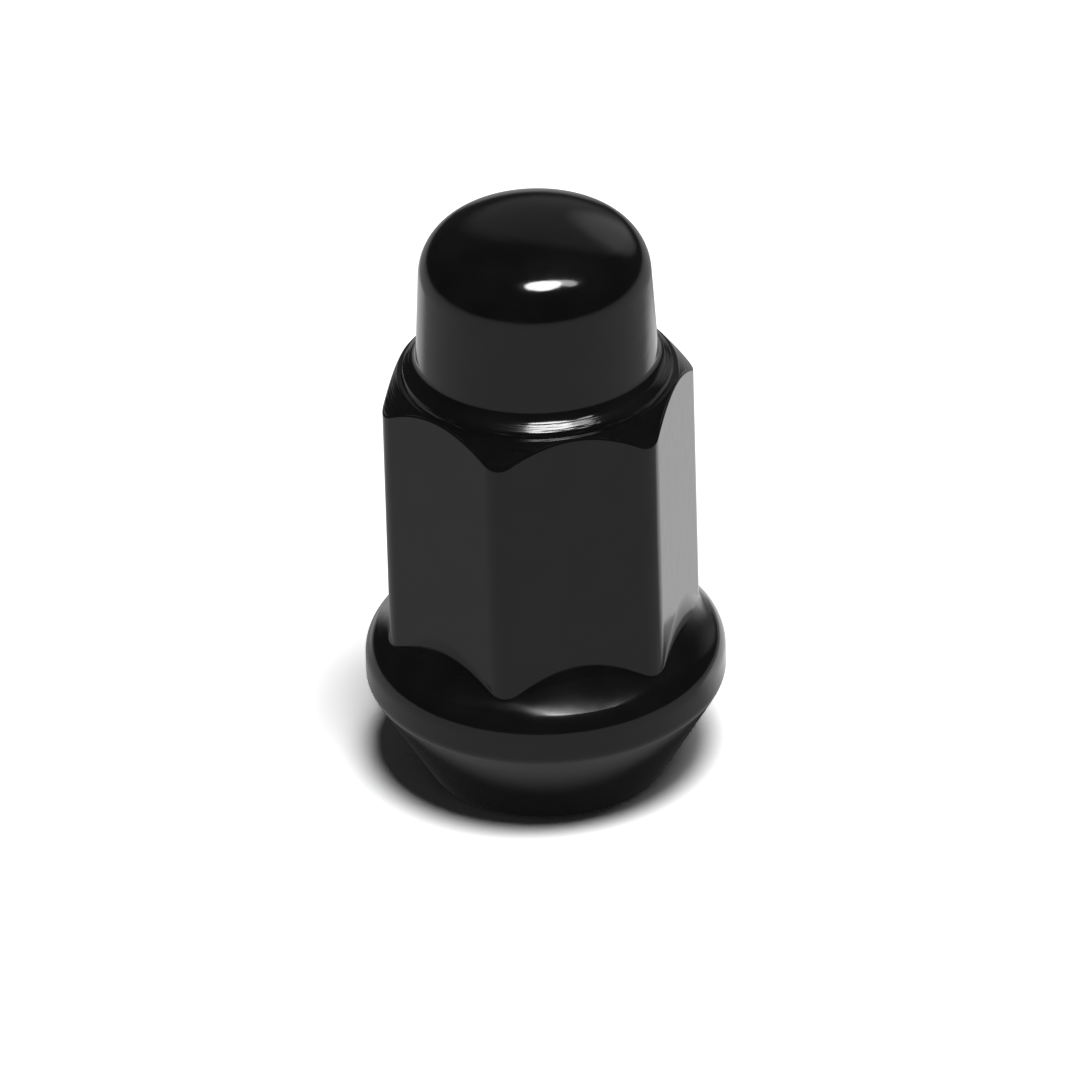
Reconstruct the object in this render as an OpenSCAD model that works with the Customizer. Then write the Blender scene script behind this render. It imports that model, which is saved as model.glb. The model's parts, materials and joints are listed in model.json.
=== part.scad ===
// Closed-end bulge acorn lug nut: tapered wheel seat, bulged flange, wrench hex, turned collar and
// domed end, forged in one piece around a blind tapped hole for the wheel stud.
// Sizes are in millimetres. The nut stands on its seat end at z = 0 and the dome points to +Z.

/* [Stud hole] */
// Major diameter of the stud thread
thread_d = 12.7; // [11:0.05:14.5]
// Pitch of the stud thread
thread_pitch = 1.27; // [1:0.01:2]
// Radial clearance from the thread's major diameter to the lip of the countersunk mouth
mouth_clearance = 0.4; // [0.1:0.05:1.2]
// Included angle of the countersunk mouth
mouth_angle = 90; // [60:1:120]
// Included angle of the drill point at the blind end
drill_point_angle = 118; // [90:1:140]
// Metal left between the drill point and the top of the dome
crown_wall = 5.3; // [3:0.1:12]

/* [Seat] */
// Included angle of the tapered seat
seat_angle = 60; // [50:1:90]
// Width of the flat end ring between the mouth and the tapered seat
seat_land = 1.4; // [0.8:0.05:3]

/* [Hex] */
// Width across the flats
hex_across_flats = 19.05; // [18:0.05:24]
// Radius of the upright corners
hex_corner_r = 1.8; // [0.3:0.1:3]
// Height of each flat along its middle line, between the flange's slope and the chamfer
flat_h = 18.1; // [10:0.05:26]
// Slope of the chamfer above the flats, from level
chamfer_slope = 53; // [30:1:70]

/* [Flange] */
// How far the flange stands out past the flats
flange_overhang = 2.65; // [2.2:0.05:5]
// Height of the flange's straight side between its unrounded edges
flange_side_h = 2.5; // [1.4:0.1:6]
// Slope of the flange's top, from level
flange_top_slope = 45; // [36:1:60]
// Radius on the upper edge of the flange's side
flange_rim_r = 2.2; // [0.3:0.1:2.6]
// Radius on the lower edge of the flange's side
flange_foot_r = 1.2; // [0.3:0.1:2]
// Radius of the hollow curve that carries the flange's top up to the hex
flange_root_r = 3.7; // [0.5:0.1:4.5]

/* [Collar] */
// How far the edge of the ledge above the chamfer sits inside the flats
ledge_inset = 0.125; // [0.05:0.025:0.6]
// Radial width of the ledge, out to its edge from the foot of the collar's side
ledge_w = 0.3; // [0.05:0.01:0.5]
// Height of the collar's steep side
collar_side_h = 0.4; // [0.2:0.05:1.5]
// Slope of the collar's side, from level
collar_side_slope = 79; // [60:1:85]
// Radial width of the turned band on the collar, in to the dome's unrounded foot
collar_band_w = 0.88; // [0.5:0.01:1.3]
// Slope of the turned band, from level
collar_band_slope = 40; // [25:1:58]

/* [Dome] */
// Radius of the hollow curve at the dome's foot
dome_foot_r = 1; // [0.3:0.05:1.5]
// Height from the dome's unrounded foot to its top
dome_h = 10.9; // [9:0.05:20]
// Draft of the dome's side
dome_draft = 3; // [0:0.1:5]
// Radius of the edge between the dome's side and crown
dome_edge_r = 3.6; // [1:0.1:5]
// Radius of the crown
dome_crown_r = 12.3; // [10:0.1:40]

/* [Hidden] */
$fn = 128;
coat_black = [0.005, 0.005, 0.0053];
overcut = 1;
// Every rounding arc is this much larger than the arc that only touches its sides, so it crosses them.
arc_lap = 0.0005;
// Its waste reaches this many times as far out as the corner, so no edge of it lies along a side.
waste_reach = 2;
// Inside the hex the turned core stays this far inside the flats.
core_gap = 0.02;
hex_corners = 6;

// A basic internal thread reaches five eighths of its sharp height inwards from the major radius.
thread_height = thread_pitch * cos(30);
bore_r = thread_d / 2 - 5 / 8 * thread_height;
mouth_r = thread_d / 2 + mouth_clearance;
mouth_h = (mouth_r - bore_r) / tan(mouth_angle / 2);

flat_r = hex_across_flats / 2;
hex_sharp_r = flat_r / cos(180 / hex_corners);
flange_r = flat_r + flange_overhang;
seat_end_r = mouth_r + seat_land;
core_r = flat_r - core_gap;
ledge_r = flat_r - ledge_inset;
collar_foot_r = ledge_r - ledge_w;
collar_rim_r = collar_foot_r - collar_side_h / tan(collar_side_slope);
dome_r = collar_rim_r - collar_band_w;

flange_foot_z = (flange_r - seat_end_r) / tan(seat_angle / 2);
flange_rim_z = flange_foot_z + flange_side_h;
flat_foot_z = flange_rim_z + flange_overhang * tan(flange_top_slope);
flat_top_z = flat_foot_z + flat_h;
ledge_z = flat_top_z + ledge_inset * tan(chamfer_slope);
// The collar's side runs on down inside the hex to the core.
core_top_z = ledge_z - (core_r - collar_foot_r) * tan(collar_side_slope);
collar_rim_z = ledge_z + collar_side_h;
dome_foot_z = collar_rim_z + collar_band_w * tan(collar_band_slope);
dome_top_z = dome_foot_z + dome_h;

drill_point_z = dome_top_z - crown_wall;
bore_end_z = drill_point_z - bore_r / tan(drill_point_angle / 2);

// The dome's edge is one arc, tangent to the drafted side and to the crown.
dome_foot = [dome_r, dome_foot_z];
side_up = [-sin(dome_draft), cos(dome_draft)];
side_normal = [cos(dome_draft), sin(dome_draft)];
crown_centre = [0, dome_top_z - dome_crown_r];
edge_offset = (dome_foot - crown_centre) * side_normal - dome_edge_r;
edge_rise = sqrt(pow(dome_crown_r - dome_edge_r, 2) - pow(edge_offset, 2));
edge_centre = crown_centre + edge_offset * side_normal + edge_rise * side_up;
edge_normal = (edge_centre - crown_centre) / (dome_crown_r - dome_edge_r);
edge_start = edge_centre + dome_edge_r * side_normal;
edge_end = edge_centre + dome_edge_r * edge_normal;
edge_corner = edge_centre + dome_edge_r * (side_normal + edge_normal) / (1 + side_normal * edge_normal);

function toward(from, to) = (to - from) / norm(to - from);

// An arc of radius r that rounds corner b: where it touches the side that runs to a, and its centre.
function half_angle(a, b, c) = acos(toward(b, a) * toward(b, c)) / 2;
function arc_touch(a, b, c, r) = b + toward(b, a) * r / tan(half_angle(a, b, c));
function arc_middle(a, b, c) = toward([0, 0], toward(b, a) + toward(b, c));
function arc_centre(a, b, c, r) = b + arc_middle(a, b, c) * r / sin(half_angle(a, b, c));

// The waste between corner b and the arc about a centre that touches both of its sides.
module arc_waste(b, touch_a, touch_c, centre, r) {
    translate(centre) {
        difference() {
            polygon(waste_reach * [[0, 0], touch_a - centre, b - centre, touch_c - centre]);
            circle(r + arc_lap);
        }
    }
}

module corner_waste(a, b, c, r) {
    arc_waste(b, arc_touch(a, b, c, r), arc_touch(c, b, a, r), arc_centre(a, b, c, r), r);
}

// The circle that hollows out the filled-in corner b.
module hollow_waste(a, b, c, r) {
    translate(arc_centre(a, b, c, r)) circle(r + arc_lap);
}

module crown_waste() {
    difference() {
        translate([0, edge_start[1]]) square([flat_r, dome_h]);
        translate(crown_centre) circle(dome_crown_r);
    }
    arc_waste(edge_corner, edge_start, edge_end, edge_centre, dome_edge_r);
}

module turned_profile() {
    seat_end = [seat_end_r, 0];
    flange_foot = [flange_r, flange_foot_z];
    flange_rim = [flange_r, flange_rim_z];
    flange_root = [core_r, flange_rim_z + (flange_r - core_r) * tan(flange_top_slope)];
    core_top = [core_r, core_top_z];
    collar_rim = [collar_rim_r, collar_rim_z];
    side_top = dome_foot + (dome_h + overcut) * side_up;
    difference() {
        polygon([
            [0, 0],
            seat_end,
            flange_foot,
            flange_rim,
            arc_touch(flange_rim, flange_root, core_top, flange_root_r),
            arc_touch(core_top, flange_root, flange_rim, flange_root_r),
            core_top,
            collar_rim,
            arc_touch(collar_rim, dome_foot, side_top, dome_foot_r),
            arc_touch(side_top, dome_foot, collar_rim, dome_foot_r),
            side_top,
            [0, side_top[1]]
        ]);
        corner_waste(seat_end, flange_foot, flange_rim, flange_foot_r);
        corner_waste(flange_foot, flange_rim, flange_root, flange_rim_r);
        hollow_waste(flange_rim, flange_root, core_top, flange_root_r);
        hollow_waste(collar_rim, dome_foot, side_top, dome_foot_r);
        crown_waste();
    }
}

function hex_corner(i) = hex_sharp_r * [cos(i * 360 / hex_corners), sin(i * 360 / hex_corners)];

module hex_profile() {
    difference() {
        polygon([for (i = [0 : hex_corners - 1]) hex_corner(i)]);
        for (i = [0 : hex_corners - 1]) {
            corner_waste(hex_corner(i - 1), hex_corner(i), hex_corner(i + 1), hex_corner_r);
        }
    }
}

// The wrench hex runs from inside the flange up to the ledge and is trimmed by the chamfer cone.
module wrench_hex() {
    hex_h = ledge_z - flange_rim_z;
    translate([0, 0, flange_rim_z]) {
        intersection() {
            linear_extrude(height = hex_h) hex_profile();
            cylinder(h = hex_h, r1 = ledge_r + hex_h / tan(chamfer_slope), r2 = ledge_r);
        }
    }
}

module stud_hole() {
    rotate_extrude() {
        polygon([
            [0, -overcut],
            [mouth_r, -overcut],
            [mouth_r, 0],
            [bore_r, mouth_h],
            [bore_r, bore_end_z],
            [0, drill_point_z]
        ]);
    }
}

module lug_nut() {
    color(coat_black) {
        difference() {
            union() {
                rotate_extrude() turned_profile();
                wrench_hex();
            }
            stud_hole();
        }
    }
}

lug_nut();
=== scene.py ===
import json
import math

import bpy
import numpy as np
from mathutils import Euler, Matrix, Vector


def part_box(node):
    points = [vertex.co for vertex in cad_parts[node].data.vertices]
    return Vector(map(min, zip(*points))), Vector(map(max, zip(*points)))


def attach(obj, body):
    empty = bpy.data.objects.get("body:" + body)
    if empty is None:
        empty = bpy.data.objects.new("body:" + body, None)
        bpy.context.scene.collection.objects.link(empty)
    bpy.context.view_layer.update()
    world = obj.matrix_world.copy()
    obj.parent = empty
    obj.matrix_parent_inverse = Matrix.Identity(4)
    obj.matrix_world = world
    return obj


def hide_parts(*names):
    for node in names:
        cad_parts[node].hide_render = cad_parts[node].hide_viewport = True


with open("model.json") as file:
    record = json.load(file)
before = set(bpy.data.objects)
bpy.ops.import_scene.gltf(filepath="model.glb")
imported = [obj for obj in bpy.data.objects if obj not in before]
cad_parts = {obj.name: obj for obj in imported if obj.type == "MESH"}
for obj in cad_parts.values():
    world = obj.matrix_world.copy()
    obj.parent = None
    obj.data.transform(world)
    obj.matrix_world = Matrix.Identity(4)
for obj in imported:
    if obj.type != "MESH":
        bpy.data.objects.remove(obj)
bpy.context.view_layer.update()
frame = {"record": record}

MM_PER_METRE = 1000

# Sizes are in metres. The CAD box gives the flange's radius and the height, the record the stud hole.
FLANGE_R, _, DOME_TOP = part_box("lug_nut")[1]
STUD_HOLE = next(mount for mount in frame["record"]["mounts"] if mount["name"] == "stud_thread")
MINOR_R = STUD_HOLE["dims"]["r_mm"] / MM_PER_METRE
BORE_END = STUD_HOLE["pos_m"][2] + STUD_HOLE["dims"]["length_mm"] / MM_PER_METRE

# The thread is five eighths of its sharp height deep, and its flats are shares of the pitch.
THREAD_PITCH = 0.00127
THREAD_DEPTH = 5 / 8 * THREAD_PITCH * math.cos(math.radians(30))
THREAD_ROOT_FLAT = 1 / 8
THREAD_CREST_FLAT = 1 / 4
THREAD_TURNS = 18
RUN_OUT_TURNS = 2
MOUTH_CLEARANCE = 0.0004
MOUTH_R = MINOR_R + THREAD_DEPTH + MOUTH_CLEARANCE
DRILL_POINT_ANGLE = math.radians(118)

SEAT_LAND = 0.0014
SEAT_SLOPE = math.radians(60)
FLANGE_SIDE_H = 0.0025
FLANGE_RIM_SLOPE = math.radians(42)
FLANGE_ROOT_SLOPE = math.radians(58)

HEX_CORNERS = 6
HEX_SECTOR = 2 * math.pi / HEX_CORNERS
HEX_ACROSS_FLATS = 0.01905
HEX_FLAT_R = HEX_ACROSS_FLATS / 2
HEX_CORNER_R = 0.0018
HEX_CORNER_C = (HEX_FLAT_R - HEX_CORNER_R) / math.cos(HEX_SECTOR / 2)
CHAMFER_SLOPE = math.radians(53)

LEDGE_INSET = 0.000125
LEDGE_W = 0.00025
COLLAR_SIDE_H = 0.0004
COLLAR_SIDE_SLOPE = math.radians(72)
COLLAR_BAND_W = 0.00088
COLLAR_BAND_SLOPE = math.radians(40)
DOME_H = 0.0109
DOME_DRAFT = math.radians(3)

# Radius and rows of each rounded edge and hollow, from the dome down to the blind end of the hole.
DOME_CROWN_R, DOME_CROWN_ROWS = 0.0123, 14
DOME_EDGE_R, DOME_EDGE_ROWS = 0.0036, 20
DOME_FOOT_R, DOME_FOOT_ROWS = 0.001, 10
COLLAR_RIM_R, COLLAR_RIM_ROWS = 0.0001, 4
LEDGE_FOOT_R, LEDGE_FOOT_ROWS = 0.000012, 4
LEDGE_EDGE_R, LEDGE_EDGE_ROWS = 0.00001, 5
CHAMFER_EDGE_R, CHAMFER_EDGE_ROWS = 0.00022, 6
FLANGE_ROOT_R, FLANGE_ROOT_ROWS = 0.003, 10
FLANGE_HOLLOW_R, FLANGE_HOLLOW_ROWS = 0.008, 8
FLANGE_RIM_R, FLANGE_RIM_ROWS = 0.0022, 10
FLANGE_FOOT_R, FLANGE_FOOT_ROWS = 0.0012, 9
SEAT_END_R, SEAT_END_ROWS = 0.00025, 5
MOUTH_EDGE_R, MOUTH_EDGE_ROWS = 0.0001, 4
DRILL_EDGE_R, DRILL_EDGE_ROWS = 0.0002, 4

# How softly the room for the flange's hollow runs out towards the hexagon's corners.
CORNER_BLEND = 0.0002

# Columns on a corner and on a flat of the hexagon, how much a flat's columns crowd its ends, and the rows of
# each turn of the thread.
CORNER_COLUMNS = 14
FLAT_COLUMNS = 30
COLUMN_CROWDING = 0.7
ROWS_PER_TURN = 8

# A straight stretch has a row this close to each end, but no further in than this share of its length. The
# last value gives the places of its rows between its two corners.
GUARD = 0.00006
GUARD_LIMIT = 0.25
STRAIGHT_PLACES = np.array([0.01, 0.34, 0.66, 0.99])

# Rows closer together than this are one row, and no length is divided by less than the second value.
SAME_ROW = 1e-8
TINY = 1e-12

# Coat: the colours and the roughness between which it varies over the mottle's span, and its refraction.
COAT_COLOURS = ((0.004, 0.004, 0.0042, 1), (0.006, 0.006, 0.0064, 1))
COAT_ROUGHNESS = (0.09, 0.13)
COAT_IOR = 1.6
MOTTLE_SPAN = (0.3, 0.7)

# Rougher stretches: the places along the section over which each fades in and out, and what it adds. A place
# counts the corners of the section from the top of the dome. The bore only fades in.
TURNED_FROM, TURNED_TO, TURNED_ROUGHER = (3, 3.2), (6.9, 7), 0.05
HOLLOW_FROM, HOLLOW_TO, HOLLOW_ROUGHER = (8, 8.5), (9.3, 10), 0.1
BORE_FROM, BORE_ROUGHER = (13.5, 14), 0.2

# Noise of the coat: scale per millimetre and detail, and the heights of its bumps in metres, for which the
# bump's distance is 1. On its way round, a turning line follows a circle of this drift through its noise.
MOTTLE_NOISE = (0.35, 3)
PEEL_NOISE = (0.9, 1)
LINE_NOISE = (2.6, 2)
PEEL_HEIGHT = 0.000008
LINE_HEIGHT = 0.00004
LINE_DRIFT = 1.2
BUMP_DISTANCE = 1

# Camera: angles in degrees, sensor in millimetres, and the photograph's width in pixels and its scale at the
# point that the camera aims at.
CAMERA_AZIMUTH = -14
CAMERA_ELEVATION = 31.5
CAMERA_DISTANCE = 1.2
CAMERA_ROLL = math.radians(-1.7)
SENSOR_WIDTH = 36
IMAGE_WIDTH = 1080
PIXELS_PER_METRE = 14870
AIM_SIDE = -0.00017
AIM_HEIGHT = 0.01695

# Lamps: turn from the camera and elevation in degrees, width, height and radiance, all at one distance.
LAMP_DISTANCE = 2
LAMPS = {
    "soft_box": (19, 73.5, 0.86, 0.76, 19),
    "side_panel": (62, 66.5, 0.34, 0.76, 6.7),
}

# Room: its light on dull surfaces, and its level in the gloss with two paler walls. A wall is its turn from
# the camera and its elevation, the angles away from there over which it fades, and what it adds.
ROOM_LIGHT = 0.012
ROOM_LEVEL = 0.03
ROOM_WALLS = {
    "back": (170, 32, 24, 34, 0.12),
    "side": (147, 22, 10, 22, 0.3),
}

# Floor: its size and gap below the nut, its grey, and the grey in which the camera sees it.
FLOOR_SIZE = 6
FLOOR_DROP = 0.00002
FLOOR_ALBEDO = 0.85
FLOOR_WHITE = 1.75

# Floor in the gloss, a painted reflection that glows for glossy rays: its level, the distances over which it
# fades to a share of that, and paler patches of painted light. A patch is its turn from the camera and
# distance, the radii over which it fades, and what it adds.
GLOSS_LEVEL = 0.36
GLOSS_FAR = (0.11, 0.5)
GLOSS_FAR_SHARE = 0.09
GLOSS_PAINTED_LIGHT_PATCHES = {
    "right": (137, 0.042, 0.021, 0.033, 0.76),
    "left": (-152, 0.066, 0.012, 0.034, 0.42),
}

# Painted shade under the nut in the floor's painted reflection: its turn from the camera and distance, the
# radii over which it fades, and the share of the floor's level that is left in it.
PAINTED_SHADE_TURN = 180
PAINTED_SHADE_AWAY = 0.0023
PAINTED_SHADE_SPAN = (0.0118, 0.0139)
PAINTED_SHADE_SHARE = 0.1


def corner_half_angle():
    """Half the angle, seen from the axis, that a rounded corner of the hexagon takes up."""
    half = HEX_SECTOR / 2
    return math.atan2(HEX_CORNER_R * math.sin(half), HEX_CORNER_C + HEX_CORNER_R * math.cos(half))


def hex_radius(angle):
    """Radius of the rounded hexagon at each angle about the axis.

    Near a corner it is where the ray meets the corner's circle, c cos a + sqrt(R^2 - (c sin a)^2), with c the
    circle's distance from the axis; on a flat it is the flat's distance over the cosine from its middle.
    """
    from_corner = np.abs((angle + HEX_SECTOR / 2) % HEX_SECTOR - HEX_SECTOR / 2)
    inside = np.maximum(HEX_CORNER_R**2 - (HEX_CORNER_C * np.sin(from_corner)) ** 2, 0)
    on_corner = HEX_CORNER_C * np.cos(from_corner) + np.sqrt(inside)
    on_flat = HEX_FLAT_R / np.cos(HEX_SECTOR / 2 - from_corner)
    return np.where(from_corner < corner_half_angle(), on_corner, on_flat)


def column_angles():
    """Angles of the grid's columns: close together on the hexagon's corners, wider on its flats.

    Along a flat the even share s becomes s - k sin(2 pi s) / (2 pi), which crowds its ends.
    """
    half = corner_half_angle()
    corner = np.linspace(-half, half, CORNER_COLUMNS, endpoint=False)
    share = np.linspace(0, 1, FLAT_COLUMNS, endpoint=False)
    share -= COLUMN_CROWDING * np.sin(2 * math.pi * share) / (2 * math.pi)
    sector = np.concatenate([corner, half + (HEX_SECTOR - 2 * half) * share])
    return (sector + HEX_SECTOR * np.arange(HEX_CORNERS)[:, None]).ravel()


def straight(start, end):
    """Rows of a straight stretch: one close to each end, the others evenly between those two."""
    span = end - start
    length = np.linalg.norm(span, axis=-1, keepdims=True)
    near = np.minimum(GUARD / np.maximum(length, TINY), GUARD_LIMIT)
    even = np.linspace(0, 1, len(STRAIGHT_PLACES))[:, None, None]
    return start + (near + (1 - 2 * near) * even) * span


def rounded_path(corners, columns):
    """One path per column through its corners in the half-plane (r, z), each corner rounded by an arc.

    A corner is (r, z, radius, rows), where r, z and the radius may differ from column to column. With d the
    direction into it and n the side it turns to, the arc is start + R (sin(t) d + (1 - cos(t)) n) while t
    runs from 0 to the turn, and start lies R tan(turn / 2) before the corner. The second result tells each
    row's place: i on the arc of corner i, and between two corners the share of the way to the next.
    """
    points = np.stack([np.stack([r + 0 * columns, z + 0 * columns], -1) for r, z, *_ in corners])
    ahead = np.diff(points, axis=0)
    ahead /= np.maximum(np.linalg.norm(ahead, axis=-1, keepdims=True), TINY)
    last = len(corners) - 1
    rows, place = [points[:1]], [[0]]
    for i in range(1, last):
        radius, count = np.reshape(corners[i][2], (-1, 1)), corners[i][3]
        before, after = ahead[i - 1], ahead[i]
        cross = before[:, :1] * after[:, 1:] - before[:, 1:] * after[:, :1]
        turn = np.arctan2(cross, (before * after).sum(-1, keepdims=True))
        side = np.sign(turn) * np.stack([-before[:, 1], before[:, 0]], -1)
        start = points[i] - before * radius * np.tan(np.abs(turn) / 2)
        t = np.abs(turn) * np.linspace(0, 1, count)[:, None, None]
        arc = start + radius * (np.sin(t) * before + (1 - np.cos(t)) * side)
        rows += [straight(rows[-1][-1], arc[0]), arc]
        place += [i - 1 + STRAIGHT_PLACES, np.full(count, i)]
    rows += [straight(rows[-1][-1], points[-1]), points[-1:]]
    place += [last - 1 + STRAIGHT_PLACES, [last]]
    path, place = np.concatenate(rows), np.concatenate(place)
    gap = np.linalg.norm(np.diff(path, axis=0), axis=-1).max(-1)
    kept = np.concatenate([[True], gap > SAME_ROW])
    return path[kept], place[kept]


def outside_corners(angle):
    """Corners of the nut's half-section from the top of the dome down to the lip of the stud hole.

    Only the hexagon's upper edge and the hollow at its foot depend on the angle. The edge lies where the
    hexagon's radius meets the chamfer's cone. The hollow is a wide arc above the flange's rim that ends in a
    tighter one at the hexagon. Both shrink with the room left beside the hexagon, b log(1 + exp(gap / b)),
    which runs out softly at its corners. The dome's edge is one arc tangent to its side and its crown.
    """
    seat_r = MOUTH_R + SEAT_LAND
    flange_foot_z = (FLANGE_R - seat_r) * math.tan(SEAT_SLOPE)
    flange_rim_z = flange_foot_z + FLANGE_SIDE_H
    ledge_r = HEX_FLAT_R - LEDGE_INSET
    collar_foot_r = ledge_r - LEDGE_W
    collar_rim_r = collar_foot_r - COLLAR_SIDE_H / math.tan(COLLAR_SIDE_SLOPE)
    dome_r = collar_rim_r - COLLAR_BAND_W
    dome_foot_z = DOME_TOP - DOME_H
    collar_rim_z = dome_foot_z - COLLAR_BAND_W * math.tan(COLLAR_BAND_SLOPE)
    ledge_z = collar_rim_z - COLLAR_SIDE_H

    hex_r = hex_radius(angle)
    hex_top_z = ledge_z - (hex_r - ledge_r) * math.tan(CHAMFER_SLOPE)
    rim_reach = FLANGE_RIM_R * math.tan((math.pi / 2 - FLANGE_RIM_SLOPE) / 2)
    hollow_reach = FLANGE_HOLLOW_R * math.tan((FLANGE_ROOT_SLOPE - FLANGE_RIM_SLOPE) / 2)
    hollow_end_r = FLANGE_R - (rim_reach + hollow_reach) * math.cos(FLANGE_RIM_SLOPE)
    room = CORNER_BLEND * np.logaddexp(0, (hollow_end_r - hex_r) / CORNER_BLEND)
    tight = room / room.max()
    hollow_r = hex_r + room
    hollow_z = flange_rim_z + (FLANGE_R - hollow_r) * math.tan(FLANGE_RIM_SLOPE)
    hex_foot_z = hollow_z + room * math.tan(FLANGE_ROOT_SLOPE)

    side_normal = np.array([math.cos(DOME_DRAFT), math.sin(DOME_DRAFT)])
    side_up = np.array([-math.sin(DOME_DRAFT), math.cos(DOME_DRAFT)])
    crown_c = np.array([0, DOME_TOP - DOME_CROWN_R])
    offset = (np.array([dome_r, dome_foot_z]) - crown_c) @ side_normal - DOME_EDGE_R
    inner = DOME_CROWN_R - DOME_EDGE_R
    edge_c = crown_c + offset * side_normal + math.sqrt(inner**2 - offset**2) * side_up
    edge_normal = (edge_c - crown_c) / inner
    edge = edge_c + DOME_EDGE_R * (side_normal + edge_normal) / (1 + side_normal @ edge_normal)
    crown_turn = math.atan2(edge_normal[0], edge_normal[1])

    return [
        (0, DOME_TOP, 0, 1),
        (DOME_CROWN_R * math.tan(crown_turn / 2), DOME_TOP, DOME_CROWN_R, DOME_CROWN_ROWS),
        (edge[0], edge[1], DOME_EDGE_R, DOME_EDGE_ROWS),
        (dome_r, dome_foot_z, DOME_FOOT_R, DOME_FOOT_ROWS),
        (collar_rim_r, collar_rim_z, COLLAR_RIM_R, COLLAR_RIM_ROWS),
        (collar_foot_r, ledge_z, LEDGE_FOOT_R, LEDGE_FOOT_ROWS),
        (ledge_r, ledge_z, LEDGE_EDGE_R, LEDGE_EDGE_ROWS),
        (hex_r, hex_top_z, CHAMFER_EDGE_R, CHAMFER_EDGE_ROWS),
        (hex_r, hex_foot_z, FLANGE_ROOT_R * tight, FLANGE_ROOT_ROWS),
        (hollow_r, hollow_z, FLANGE_HOLLOW_R * tight, FLANGE_HOLLOW_ROWS),
        (FLANGE_R, flange_rim_z, FLANGE_RIM_R, FLANGE_RIM_ROWS),
        (FLANGE_R, flange_foot_z, FLANGE_FOOT_R, FLANGE_FOOT_ROWS),
        (seat_r, 0, SEAT_END_R, SEAT_END_ROWS),
        (MOUTH_R, 0, MOUTH_EDGE_R, MOUTH_EDGE_ROWS),
        (MOUTH_R - MOUTH_EDGE_R, MOUTH_EDGE_R, 0, 1),
    ]


def stud_hole_path(angle):
    """Rows of the tapped hole, from its countersunk lip up to the drill point.

    The wall's radius is the larger of the countersink's cone and the thread, minor + depth * groove(u), where
    u = z / pitch - angle / turn, a right-hand helix, and the groove has straight flanks between a flat root
    and a flat crest. The thread's last turns run out.
    """
    thread_end = THREAD_TURNS * THREAD_PITCH
    z = np.linspace(MOUTH_EDGE_R + GUARD, thread_end, THREAD_TURNS * ROWS_PER_TURN)[:, None] + 0 * angle
    from_root = 2 * np.abs((z / THREAD_PITCH - angle / (2 * math.pi)) % 1 - 1 / 2)
    from_crest = 1 - THREAD_CREST_FLAT - from_root
    groove = np.clip(from_crest / (1 - THREAD_CREST_FLAT - THREAD_ROOT_FLAT), 0, 1)
    run_out = np.clip((thread_end - z) / (RUN_OUT_TURNS * THREAD_PITCH), 0, 1)
    wall = np.maximum(MINOR_R + THREAD_DEPTH * groove * run_out, MOUTH_R - z)
    blind = [
        (MINOR_R, thread_end + GUARD, 0, 1),
        (MINOR_R, BORE_END, DRILL_EDGE_R, DRILL_EDGE_ROWS),
        (0, BORE_END + MINOR_R / math.tan(DRILL_POINT_ANGLE / 2), 0, 1),
    ]
    return np.concatenate([np.stack([wall, z], -1), rounded_path(blind, angle)[0]])


def closed_surface(name, path, place, angle):
    """Mesh of a half-plane path per column turned about the axis: x = r cos a, y = r sin a.

    The first and last row lie on the axis and become one vertex each; the rows between are closed rings. The
    attribute "place" keeps each row's place along the section.
    """
    rings = path[1:-1]
    count, columns = rings.shape[:2]
    ring_xyz = np.stack([rings[..., 0] * np.cos(angle), rings[..., 0] * np.sin(angle), rings[..., 1]], -1)
    poles = np.array([[0, 0, path[0, 0, 1]], [0, 0, path[-1, 0, 1]]])
    vertices = np.concatenate([ring_xyz.reshape(-1, 3), poles])
    index = np.arange(count * columns).reshape(count, columns)
    across = np.roll(index, -1, axis=1)
    quads = np.stack([index[:-1], index[1:], across[1:], across[:-1]], -1).reshape(-1, 4)
    top = np.stack([np.full(columns, count * columns), index[0], across[0]], -1)
    end = np.stack([np.full(columns, count * columns + 1), across[-1], index[-1]], -1)
    mesh = bpy.data.meshes.new(name)
    mesh.from_pydata(vertices.tolist(), [], quads.tolist() + top.tolist() + end.tolist())
    mesh.shade_smooth()
    values = np.concatenate([np.repeat(place[1:-1], columns), place[[0, -1]]])
    mesh.attributes.new("place", "FLOAT", "POINT").data.foreach_set("value", values)
    piece = bpy.data.objects.new(name, mesh)
    bpy.context.collection.objects.link(piece)
    return piece


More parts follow.
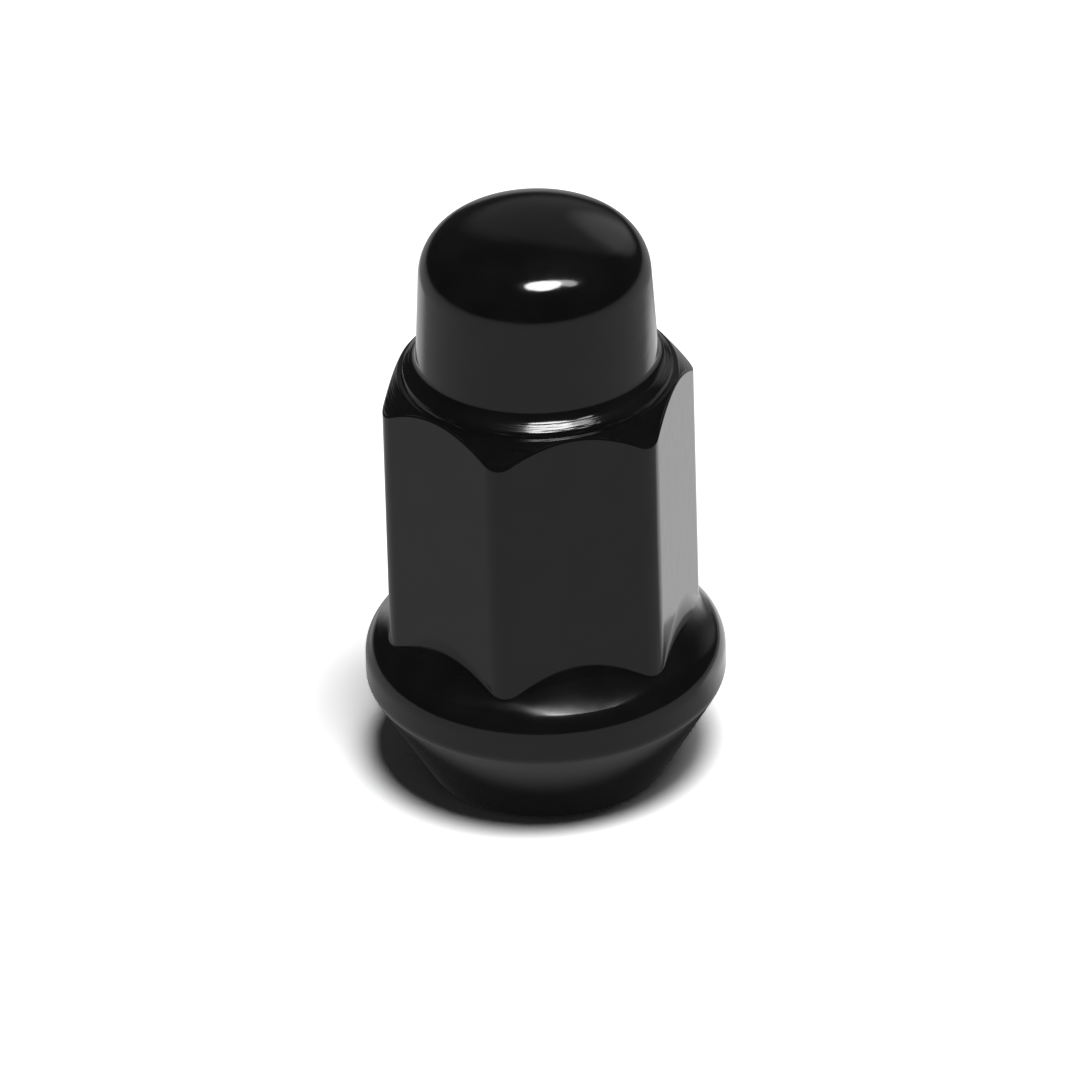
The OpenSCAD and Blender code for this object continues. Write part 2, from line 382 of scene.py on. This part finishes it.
class Nodes:
    """Short ways to add nodes to one tree. Apart from put, each returns the socket that holds its result."""

    def __init__(self, tree):
        self.tree = tree

    def put(self, socket, value):
        if isinstance(value, bpy.types.NodeSocket):
            self.tree.links.new(value, socket)
        else:
            socket.default_value = value

    def math(self, operation, a, b=0.0):
        node = self.tree.nodes.new("ShaderNodeMath")
        node.operation = operation
        self.put(node.inputs[0], a)
        self.put(node.inputs[1], b)
        return node.outputs[0]

    def vector(self, operation, a, b=(0, 0, 0), output="Vector"):
        node = self.tree.nodes.new("ShaderNodeVectorMath")
        node.operation = operation
        self.put(node.inputs[0], a)
        self.put(node.inputs[1], b)
        return node.outputs[output]

    def ramp(self, value, span, result=(0, 1)):
        node = self.tree.nodes.new("ShaderNodeMapRange")
        node.interpolation_type = "SMOOTHSTEP"
        self.put(node.inputs["Value"], value)
        for name, end in zip(("From Min", "From Max", "To Min", "To Max"), (*span, *result)):
            node.inputs[name].default_value = end
        return node.outputs["Result"]

    def stretch(self, value, start, end):
        return self.math("MULTIPLY", self.ramp(value, start), self.ramp(value, end, (1, 0)))

    def colour_ramp(self, value, span, colours):
        node = self.tree.nodes.new("ShaderNodeValToRGB")
        node.color_ramp.interpolation = "EASE"
        self.put(node.inputs["Fac"], value)
        for element, position, colour in zip(node.color_ramp.elements, span, colours):
            element.position, element.color = position, colour
        return node.outputs["Color"]

    def noise(self, vector, scale, detail):
        node = self.tree.nodes.new("ShaderNodeTexNoise")
        self.put(node.inputs["Vector"], vector)
        node.inputs["Scale"].default_value = scale
        node.inputs["Detail"].default_value = detail
        return node.outputs["Fac"]

    def attribute(self, name):
        node = self.tree.nodes.new("ShaderNodeAttribute")
        node.attribute_name = name
        return node.outputs["Fac"]

    def texture_place(self, name):
        return self.tree.nodes.new("ShaderNodeTexCoord").outputs[name]

    def is_ray(self, name):
        return self.tree.nodes.new("ShaderNodeLightPath").outputs[name]

    def for_ray(self, name, usual, special):
        node = self.tree.nodes.new("ShaderNodeMix")
        self.put(node.inputs["Factor"], self.is_ray(name))
        self.put(node.inputs["A"], usual)
        self.put(node.inputs["B"], special)
        return node.outputs["Result"]


def black_coat_material():
    """Gloss black coat with a faint orange peel and mottle, and a duller collar, chamfer, hollow and bore.

    The turning lines on collar and chamfer are noise over the direction from the axis and the value z - r, so
    they run round the axis.
    """
    material = bpy.data.materials.new("black_coat")
    material.use_nodes = True
    nodes = Nodes(material.node_tree)
    shader = material.node_tree.nodes["Principled BSDF"]

    place = nodes.attribute("place")
    turned = nodes.stretch(place, TURNED_FROM, TURNED_TO)
    hollow = nodes.stretch(place, HOLLOW_FROM, HOLLOW_TO)
    bored = nodes.ramp(place, BORE_FROM)

    spot = nodes.vector("MULTIPLY", nodes.texture_place("Object"), (MM_PER_METRE,) * 3)
    outwards = nodes.vector("MULTIPLY", spot, (1, 1, 0))
    radius = nodes.vector("LENGTH", outwards, output="Value")
    around = nodes.vector("MULTIPLY", nodes.vector("NORMALIZE", outwards), (LINE_DRIFT, LINE_DRIFT, 0))
    z = nodes.vector("DOT_PRODUCT", spot, (0, 0, 1), "Value")
    up_section = nodes.vector("MULTIPLY", (0, 0, 1), nodes.math("SUBTRACT", z, radius))
    lines = nodes.noise(nodes.vector("ADD", around, up_section), *LINE_NOISE)
    peel = nodes.noise(spot, *PEEL_NOISE)
    mottle = nodes.noise(spot, *MOTTLE_NOISE)

    line_height = nodes.math("MULTIPLY", nodes.math("MULTIPLY", lines, turned), LINE_HEIGHT)
    peel_height = nodes.math("MULTIPLY", peel, PEEL_HEIGHT)
    bump = material.node_tree.nodes.new("ShaderNodeBump")
    bump.inputs["Distance"].default_value = BUMP_DISTANCE
    nodes.put(bump.inputs["Height"], nodes.math("ADD", peel_height, line_height))
    nodes.put(shader.inputs["Normal"], bump.outputs["Normal"])

    roughness = nodes.ramp(mottle, MOTTLE_SPAN, COAT_ROUGHNESS)
    for share, rougher in ((turned, TURNED_ROUGHER), (hollow, HOLLOW_ROUGHER), (bored, BORE_ROUGHER)):
        roughness = nodes.math("ADD", nodes.math("MULTIPLY", share, rougher), roughness)
    nodes.put(shader.inputs["Roughness"], roughness)
    nodes.put(shader.inputs["Base Color"], nodes.colour_ramp(mottle, MOTTLE_SPAN, COAT_COLOURS))
    shader.inputs["IOR"].default_value = COAT_IOR
    return material


def direction(azimuth, elevation):
    """Unit vector at these angles in degrees: azimuth 0 lies along -Y and grows towards +X."""
    a, e = math.radians(azimuth), math.radians(elevation)
    return np.array([math.sin(a) * math.cos(e), -math.cos(a) * math.cos(e), math.sin(e)])


def add_camera():
    """Camera with the photograph's scale at the aim point: lens = scale * distance * sensor / width."""
    data = bpy.data.cameras.new("camera")
    data.sensor_width = SENSOR_WIDTH
    data.lens = PIXELS_PER_METRE * CAMERA_DISTANCE * SENSOR_WIDTH / IMAGE_WIDTH
    camera = bpy.data.objects.new("camera", data)
    aim = AIM_SIDE * direction(CAMERA_AZIMUTH + 90, 0) + np.array([0, 0, AIM_HEIGHT])
    camera.location = aim + CAMERA_DISTANCE * direction(CAMERA_AZIMUTH, CAMERA_ELEVATION)
    tilt = Euler((math.pi / 2 - math.radians(CAMERA_ELEVATION), 0, math.radians(CAMERA_AZIMUTH)))
    camera.rotation_euler = (tilt.to_matrix() @ Matrix.Rotation(CAMERA_ROLL, 3, "Z")).to_euler()
    bpy.context.collection.objects.link(camera)
    bpy.context.scene.camera = camera


def add_lamps():
    """Oval lamps that face the nut; the power of each is pi * radiance * area."""
    for name, (turn, elevation, width, height, radiance) in LAMPS.items():
        lamp = bpy.data.lights.new(name, "AREA")
        lamp.shape = "ELLIPSE"
        lamp.size, lamp.size_y = width, height
        area = math.pi / 4 * width * height
        lamp.energy = math.pi * radiance * area
        holder = bpy.data.objects.new(name, lamp)
        azimuth = CAMERA_AZIMUTH + turn
        holder.location = np.array([0, 0, AIM_HEIGHT]) + LAMP_DISTANCE * direction(azimuth, elevation)
        holder.rotation_euler = (math.pi / 2 - math.radians(elevation), 0, math.radians(azimuth))
        bpy.context.collection.objects.link(holder)


def add_floor():
    """Pale floor that catches the shadow, and glows with a painted reflection where the nut's gloss mirrors
    it.

    Before the camera its colour is raised, so that it is white where it is lit. In the gloss it glows at a
    painted level with patches of painted light, fades with the distance to about the room's level, and has
    painted shade under the nut.
    """
    half = FLOOR_SIZE / 2
    mesh = bpy.data.meshes.new("floor")
    sides = [(-half, -half), (half, -half), (half, half), (-half, half)]
    mesh.from_pydata([(x, y, -FLOOR_DROP) for x, y in sides], [], [(0, 1, 2, 3)])
    floor = bpy.data.objects.new("floor", mesh)
    bpy.context.collection.objects.link(floor)

    material = bpy.data.materials.new("pale_floor")
    material.use_nodes = True
    material.cycles.emission_sampling = "NONE"
    mesh.materials.append(material)
    nodes = Nodes(material.node_tree)
    spot = nodes.texture_place("Object")
    # The floor's painted reflection: a set level for glossy rays, with patches of painted light.
    level = GLOSS_LEVEL
    for turn, away, inner, outer, more in GLOSS_PAINTED_LIGHT_PATCHES.values():
        from_painted_patch = nodes.vector("DISTANCE", spot, away * direction(CAMERA_AZIMUTH + turn, 0), "Value")
        level = nodes.math("ADD", nodes.ramp(from_painted_patch, (inner, outer), (more, 0)), level)
    from_axis = nodes.vector("LENGTH", spot, output="Value")
    level = nodes.math("MULTIPLY", level, nodes.ramp(from_axis, GLOSS_FAR, (1, GLOSS_FAR_SHARE)))
    # Painted shade under the nut in that painted reflection.
    painted_shade_middle = PAINTED_SHADE_AWAY * direction(CAMERA_AZIMUTH + PAINTED_SHADE_TURN, 0)
    from_painted_shade = nodes.vector("DISTANCE", spot, painted_shade_middle, "Value")
    level = nodes.math("MULTIPLY", level, nodes.ramp(from_painted_shade, PAINTED_SHADE_SPAN, (PAINTED_SHADE_SHARE, 1)))

    surface = material.node_tree.nodes.new("ShaderNodeBsdfDiffuse")
    nodes.put(surface.inputs["Color"], nodes.for_ray("Is Camera Ray", FLOOR_ALBEDO, FLOOR_WHITE))
    # The floor glows with the painted reflection for glossy rays; other rays see its diffuse colour.
    painted_reflection = material.node_tree.nodes.new("ShaderNodeEmission")
    nodes.put(painted_reflection.inputs["Strength"], level)
    either = material.node_tree.nodes.new("ShaderNodeMixShader")
    nodes.put(either.inputs["Fac"], nodes.is_ray("Is Glossy Ray"))
    nodes.put(either.inputs[1], surface.outputs["BSDF"])
    nodes.put(either.inputs[2], painted_reflection.outputs["Emission"])
    nodes.put(material.node_tree.nodes["Material Output"].inputs["Surface"], either.outputs["Shader"])


def add_world():
    """White for the camera, a dim room with two paler walls in the gloss, and a faint even light besides."""
    world = bpy.data.worlds.new("studio")
    world.use_nodes = True
    nodes = Nodes(world.node_tree)
    background = world.node_tree.nodes["Background"]
    background.inputs["Color"].default_value = (1, 1, 1, 1)
    toward = nodes.texture_place("Generated")
    level = ROOM_LEVEL
    for turn, elevation, inner, outer, more in ROOM_WALLS.values():
        near = nodes.vector("DOT_PRODUCT", toward, direction(CAMERA_AZIMUTH + turn, elevation), "Value")
        span = (math.cos(math.radians(outer)), math.cos(math.radians(inner)))
        level = nodes.math("ADD", nodes.ramp(near, span, (0, more)), level)
    level = nodes.for_ray("Is Glossy Ray", ROOM_LIGHT, level)
    nodes.put(background.inputs["Strength"], nodes.for_ray("Is Camera Ray", level, 1.0))
    bpy.context.scene.world = world


angle = column_angles()
outside, place = rounded_path(outside_corners(angle), angle)
hole = stud_hole_path(angle)
path = np.concatenate([outside[:-1], hole])
place = np.concatenate([place[:-1], np.full(len(hole), place[-1])])
nut = closed_surface("lug_nut_coated", path, place, angle)
nut.data.materials.append(black_coat_material())
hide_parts("lug_nut")
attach(nut, "root")

add_floor()
add_world()
add_lamps()
add_camera()
bpy.context.scene.view_settings.view_transform = "Standard"
